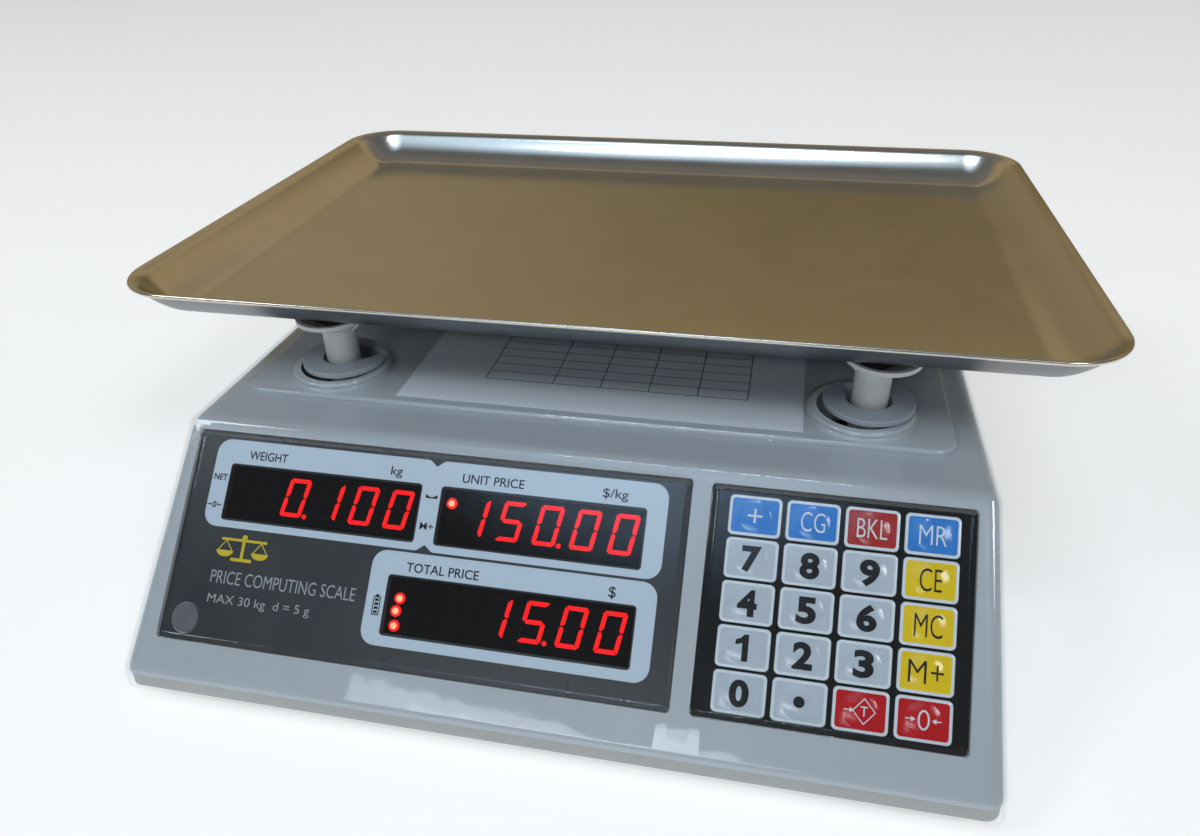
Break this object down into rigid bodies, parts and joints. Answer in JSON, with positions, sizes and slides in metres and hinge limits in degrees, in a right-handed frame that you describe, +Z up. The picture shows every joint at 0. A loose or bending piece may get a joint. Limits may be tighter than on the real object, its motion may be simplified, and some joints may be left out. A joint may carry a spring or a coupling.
{
  "type": "retail price scale",
  "caption": "Counter price-computing scale: coved steel pan on four posts over a sloped housing with a red digit display and a domed keypad, under a clear dust cover.",
  "frame": {"origin": "on the bench under the middle of the object, at the bottom centre of its box", "axes": "+X to the right of the person at the keypad, +Y away from that person, +Z up"},
  "size_m": [0.35, 0.3402, 0.1185],
  "materials": {
    "battery_case": "sealed battery case",
    "black_plastic": "moulded",
    "card_paper": "printed card, matt",
    "cast_aluminium": "cast and machined",
    "circuit_board": "solder-masked board",
    "clear_cover": "clear vacuum-formed film",
    "collar_plastic": "moulded, mid grey",
    "core_steel": "varnished laminations",
    "foot_rubber": "moulded",
    "housing_plastic": "satin moulded ABS, light blue-grey",
    "indicator_red": "lit lamp",
    "key_blue": "domed printed film",
    "key_red": "domed printed film",
    "key_white": "domed printed film",
    "key_yellow": "domed printed film",
    "led_module": "black epoxy-filled module",
    "membrane_film": "film with metal domes",
    "overlay_black": "printed film, gloss",
    "post_plastic": "moulded, pale grey-white",
    "smoked_window": "smoked clear film",
    "stainless": "satin mirror stainless",
    "stud_plastic": "moulded",
    "vial_glass": "liquid-filled vial",
    "zinc_steel": "zinc plated"
  },
  "bodies": {
    "housing": {"base_housing": "housing_plastic", "battery": "battery_case", "battery_door": "housing_plastic", "chassis_plate": "zinc_steel", "dust_cover": "clear_cover", "front_display_board": "circuit_board", "front_indicator_leds": "indicator_red", "front_led_modules": "led_module", "front_overlay": "overlay_black", "front_windows": "smoked_window", "housing_screws": "zinc_steel", "keypad_circuit": "membrane_film", "keypad_overlay": "overlay_black", "level_vial": "vial_glass", "load_cell": "cast_aluminium", "mainboard": "circuit_board", "power_inlet": "black_plastic", "rear_display_module": "circuit_board", "rear_overlay": "overlay_black", "rear_windows": "smoked_window", "rocker_frame": "black_plastic", "spec_card": "card_paper", "top_housing": "housing_plastic", "transformer": "core_steel"},
    "platform": {"pan_support_frame": "cast_aluminium", "support_post_front_left": "post_plastic", "support_post_front_right": "post_plastic", "support_post_rear_left": "post_plastic", "support_post_rear_right": "post_plastic"},
    "pan": {"weighing_pan": "stainless", "pan_locating_studs": "stud_plastic"},
    "collar_front_left": {"transit_collar_front_left": "collar_plastic"},
    "collar_front_right": {"transit_collar_front_right": "collar_plastic"},
    "collar_rear_left": {"transit_collar_rear_left": "collar_plastic"},
    "collar_rear_right": {"transit_collar_rear_right": "collar_plastic"},
    "foot_front_left": {"levelling_foot_front_left": "foot_rubber"},
    "foot_front_right": {"levelling_foot_front_right": "foot_rubber"},
    "foot_rear_left": {"levelling_foot_rear_left": "foot_rubber"},
    "foot_rear_right": {"levelling_foot_rear_right": "foot_rubber"},
    "rocker": {"power_rocker": "black_plastic"},
    "key_0": {"key_0": "key_white"},
    "key_1": {"key_1": "key_white"},
    "key_2": {"key_2": "key_white"},
    "key_3": {"key_3": "key_white"},
    "key_4": {"key_4": "key_white"},
    "key_5": {"key_5": "key_white"},
    "key_6": {"key_6": "key_white"},
    "key_7": {"key_7": "key_white"},
    "key_8": {"key_8": "key_white"},
    "key_9": {"key_9": "key_white"},
    "key_backlight": {"key_backlight": "key_red"},
    "key_change": {"key_change": "key_blue"},
    "key_clear_entry": {"key_clear_entry": "key_yellow"},
    "key_memory_add": {"key_memory_add": "key_yellow"},
    "key_memory_clear": {"key_memory_clear": "key_yellow"},
    "key_memory_recall": {"key_memory_recall": "key_blue"},
    "key_plus": {"key_plus": "key_blue"},
    "key_point": {"key_point": "key_white"},
    "key_tare": {"key_tare": "key_red"},
    "key_zero": {"key_zero": "key_red"}
  },
  "joints": [
    {"name": "platform_flex", "type": "slide", "parent": "housing", "child": "platform", "axis": [0, 0, -1], "range_m": [0, 0.0004], "stiffness_N_per_m": 300000, "deforming": ["load_cell"]},
    {"name": "pan_lift", "type": "slide", "parent": "platform", "child": "pan", "axis": [0, 0, 1], "range_m": [0, 0.06]},
    {"name": "collar_lift_front_left", "type": "slide", "parent": "housing", "child": "collar_front_left", "axis": [0, 0, 1], "range_m": [0, 0.0055]},
    {"name": "collar_lift_front_right", "type": "slide", "parent": "housing", "child": "collar_front_right", "axis": [0, 0, 1], "range_m": [0, 0.0055]},
    {"name": "collar_lift_rear_left", "type": "slide", "parent": "housing", "child": "collar_rear_left", "axis": [0, 0, 1], "range_m": [0, 0.0055]},
    {"name": "collar_lift_rear_right", "type": "slide", "parent": "housing", "child": "collar_rear_right", "axis": [0, 0, 1], "range_m": [0, 0.0055]},
    {"name": "foot_adjust_front_left", "type": "slide", "parent": "housing", "child": "foot_front_left", "axis": [0, 0, -1], "range_m": [0, 0.008]},
    {"name": "foot_adjust_front_right", "type": "slide", "parent": "housing", "child": "foot_front_right", "axis": [0, 0, -1], "range_m": [0, 0.008]},
    {"name": "foot_adjust_rear_left", "type": "slide", "parent": "housing", "child": "foot_rear_left", "axis": [0, 0, -1], "range_m": [0, 0.008]},
    {"name": "foot_adjust_rear_right", "type": "slide", "parent": "housing", "child": "foot_rear_right", "axis": [0, 0, -1], "range_m": [0, 0.008]},
    {"name": "power_switch", "type": "hinge", "parent": "housing", "child": "rocker", "pos_m": [0.1376, 0.06685, 0.041], "axis": [0, 0, 1], "range_deg": [0, 11.4]},
    {"name": "key_0_press", "type": "slide", "parent": "housing", "child": "key_0", "axis": [0, 0.7193, -0.6947], "range_m": [0, 0.0004], "stiffness_N_per_m": 4000},
    {"name": "key_1_press", "type": "slide", "parent": "housing", "child": "key_1", "axis": [0, 0.7193, -0.6947], "range_m": [0, 0.0004], "stiffness_N_per_m": 4000},
    {"name": "key_2_press", "type": "slide", "parent": "housing", "child": "key_2", "axis": [0, 0.7193, -0.6947], "range_m": [0, 0.0004], "stiffness_N_per_m": 4000},
    {"name": "key_3_press", "type": "slide", "parent": "housing", "child": "key_3", "axis": [0, 0.7193, -0.6947], "range_m": [0, 0.0004], "stiffness_N_per_m": 4000},
    {"name": "key_4_press", "type": "slide", "parent": "housing", "child": "key_4", "axis": [0, 0.7193, -0.6947], "range_m": [0, 0.0004], "stiffness_N_per_m": 4000},
    {"name": "key_5_press", "type": "slide", "parent": "housing", "child": "key_5", "axis": [0, 0.7193, -0.6947], "range_m": [0, 0.0004], "stiffness_N_per_m": 4000},
    {"name": "key_6_press", "type": "slide", "parent": "housing", "child": "key_6", "axis": [0, 0.7193, -0.6947], "range_m": [0, 0.0004], "stiffness_N_per_m": 4000},
    {"name": "key_7_press", "type": "slide", "parent": "housing", "child": "key_7", "axis": [0, 0.7193, -0.6947], "range_m": [0, 0.0004], "stiffness_N_per_m": 4000},
    {"name": "key_8_press", "type": "slide", "parent": "housing", "child": "key_8", "axis": [0, 0.7193, -0.6947], "range_m": [0, 0.0004], "stiffness_N_per_m": 4000},
    {"name": "key_9_press", "type": "slide", "parent": "housing", "child": "key_9", "axis": [0, 0.7193, -0.6947], "range_m": [0, 0.0004], "stiffness_N_per_m": 4000},
    {"name": "key_backlight_press", "type": "slide", "parent": "housing", "child": "key_backlight", "axis": [0, 0.7193, -0.6947], "range_m": [0, 0.0004], "stiffness_N_per_m": 4000},
    {"name": "key_change_press", "type": "slide", "parent": "housing", "child": "key_change", "axis": [0, 0.7193, -0.6947], "range_m": [0, 0.0004], "stiffness_N_per_m": 4000},
    {"name": "key_clear_entry_press", "type": "slide", "parent": "housing", "child": "key_clear_entry", "axis": [0, 0.7193, -0.6947], "range_m": [0, 0.0004], "stiffness_N_per_m": 4000},
    {"name": "key_memory_add_press", "type": "slide", "parent": "housing", "child": "key_memory_add", "axis": [0, 0.7193, -0.6947], "range_m": [0, 0.0004], "stiffness_N_per_m": 4000},
    {"name": "key_memory_clear_press", "type": "slide", "parent": "housing", "child": "key_memory_clear", "axis": [0, 0.7193, -0.6947], "range_m": [0, 0.0004], "stiffness_N_per_m": 4000},
    {"name": "key_memory_recall_press", "type": "slide", "parent": "housing", "child": "key_memory_recall", "axis": [0, 0.7193, -0.6947], "range_m": [0, 0.0004], "stiffness_N_per_m": 4000},
    {"name": "key_plus_press", "type": "slide", "parent": "housing", "child": "key_plus", "axis": [0, 0.7193, -0.6947], "range_m": [0, 0.0004], "stiffness_N_per_m": 4000},
    {"name": "key_point_press", "type": "slide", "parent": "housing", "child": "key_point", "axis": [0, 0.7193, -0.6947], "range_m": [0, 0.0004], "stiffness_N_per_m": 4000},
    {"name": "key_tare_press", "type": "slide", "parent": "housing", "child": "key_tare", "axis": [0, 0.7193, -0.6947], "range_m": [0, 0.0004], "stiffness_N_per_m": 4000},
    {"name": "key_zero_press", "type": "slide", "parent": "housing", "child": "key_zero", "axis": [0, 0.7193, -0.6947], "range_m": [0, 0.0004], "stiffness_N_per_m": 4000}
  ]
}
